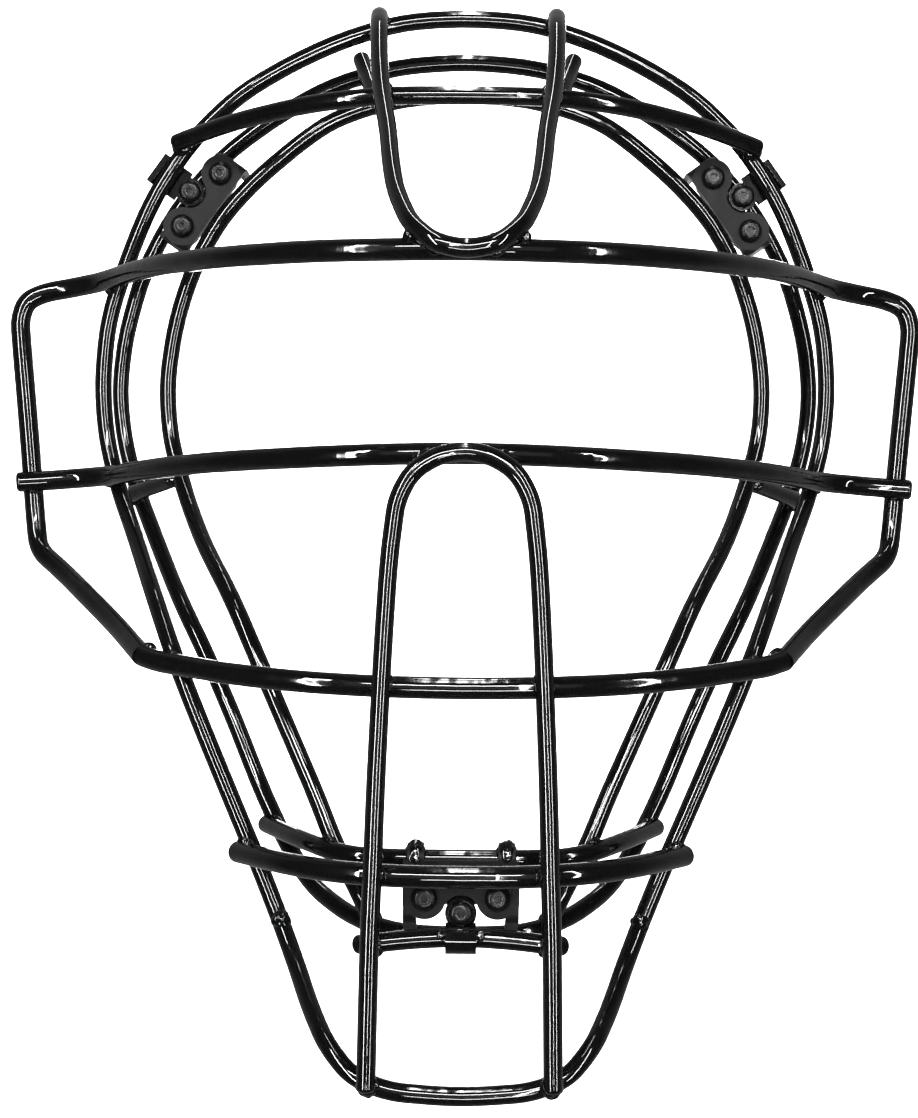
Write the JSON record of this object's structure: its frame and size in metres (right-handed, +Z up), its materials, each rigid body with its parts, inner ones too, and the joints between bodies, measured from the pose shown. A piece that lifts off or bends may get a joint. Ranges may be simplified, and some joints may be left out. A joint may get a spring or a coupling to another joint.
{
  "type": "catchers mask",
  "caption": "Bare dual-cage face mask of bent, welded round steel wire: an outer impact cage rides on spring modules held by an inner face cage.",
  "frame": {"origin": "on the symmetry plane, in the plane that the back of the rear hoop touches, level with the hoop's rear-most points at the temples", "axes": "+Z up, -Y the way the mask faces, +X to the wearer's left"},
  "size_m": [0.2544, 0.1218, 0.2831],
  "materials": {
    "wire_coating": "gloss black powder coat on round steel wire",
    "plate_coating": "satin dark grey-black coat on sheet steel",
    "fastener_black": "black oxide, semi-gloss",
    "spring_steel": "dark drawn spring wire"
  },
  "bodies": {
    "inner_cage": {"rear_hoop": "wire_coating", "front_hoop": "wire_coating", "chin_bridge": "wire_coating", "left_side_spacer": "wire_coating", "right_side_spacer": "wire_coating", "left_top_spacer": "wire_coating", "right_top_spacer": "wire_coating", "left_front_plate": "plate_coating", "right_front_plate": "plate_coating", "chin_front_plate": "plate_coating", "left_outer_springs": "spring_steel", "right_outer_springs": "spring_steel", "chin_outer_springs": "spring_steel"},
    "outer_cage": {"perimeter_hoop": "wire_coating", "throat_loop": "wire_coating", "brow_bar": "wire_coating", "eye_bar": "wire_coating", "nose_bar": "wire_coating", "mouth_bar": "wire_coating", "chin_bar": "wire_coating", "forehead_loop": "wire_coating", "chin_loop": "wire_coating", "lower_bridge": "wire_coating", "left_strap": "wire_coating", "right_strap": "wire_coating", "chin_strap": "wire_coating"},
    "left_carriage": {"left_rear_plate": "plate_coating", "left_outer_screws": "fastener_black", "left_middle_screw": "fastener_black", "left_nuts": "fastener_black", "left_middle_spring": "spring_steel"},
    "right_carriage": {"right_rear_plate": "plate_coating", "right_outer_screws": "fastener_black", "right_middle_screw": "fastener_black", "right_nuts": "fastener_black", "right_middle_spring": "spring_steel"},
    "chin_carriage": {"chin_rear_plate": "plate_coating", "chin_outer_screws": "fastener_black", "chin_middle_screw": "fastener_black", "chin_nuts": "fastener_black", "chin_middle_spring": "spring_steel"}
  },
  "joints": [
    {"name": "chin_rebound", "type": "slide", "parent": "inner_cage", "child": "chin_carriage", "axis": [0, -1, 0], "range_m": [0, 0.002], "stiffness_N_per_m": 20000, "springref_m": -0.001, "deforming": ["chin_outer_springs"]},
    {"name": "left_rebound", "type": "slide", "parent": "inner_cage", "child": "left_carriage", "axis": [0, -1, 0], "range_m": [0, 0.002], "stiffness_N_per_m": 6000, "springref_m": -0.001, "deforming": ["left_outer_springs"]},
    {"name": "right_rebound", "type": "slide", "parent": "inner_cage", "child": "right_carriage", "axis": [0, -1, 0], "range_m": [0, 0.002], "stiffness_N_per_m": 6000, "springref_m": -0.001, "deforming": ["right_outer_springs"]},
    {"name": "impact", "type": "slide", "parent": "chin_carriage", "child": "outer_cage", "axis": [0, 1, 0], "range_m": [0, 0.0045], "stiffness_N_per_m": 12000, "springref_m": -0.002, "deforming": ["left_middle_spring", "right_middle_spring", "chin_middle_spring"]}
  ],
  "couplings": [
    {"joint": "left_rebound", "follows": "chin_rebound", "ratio": 1},
    {"joint": "right_rebound", "follows": "chin_rebound", "ratio": 1}
  ]
}
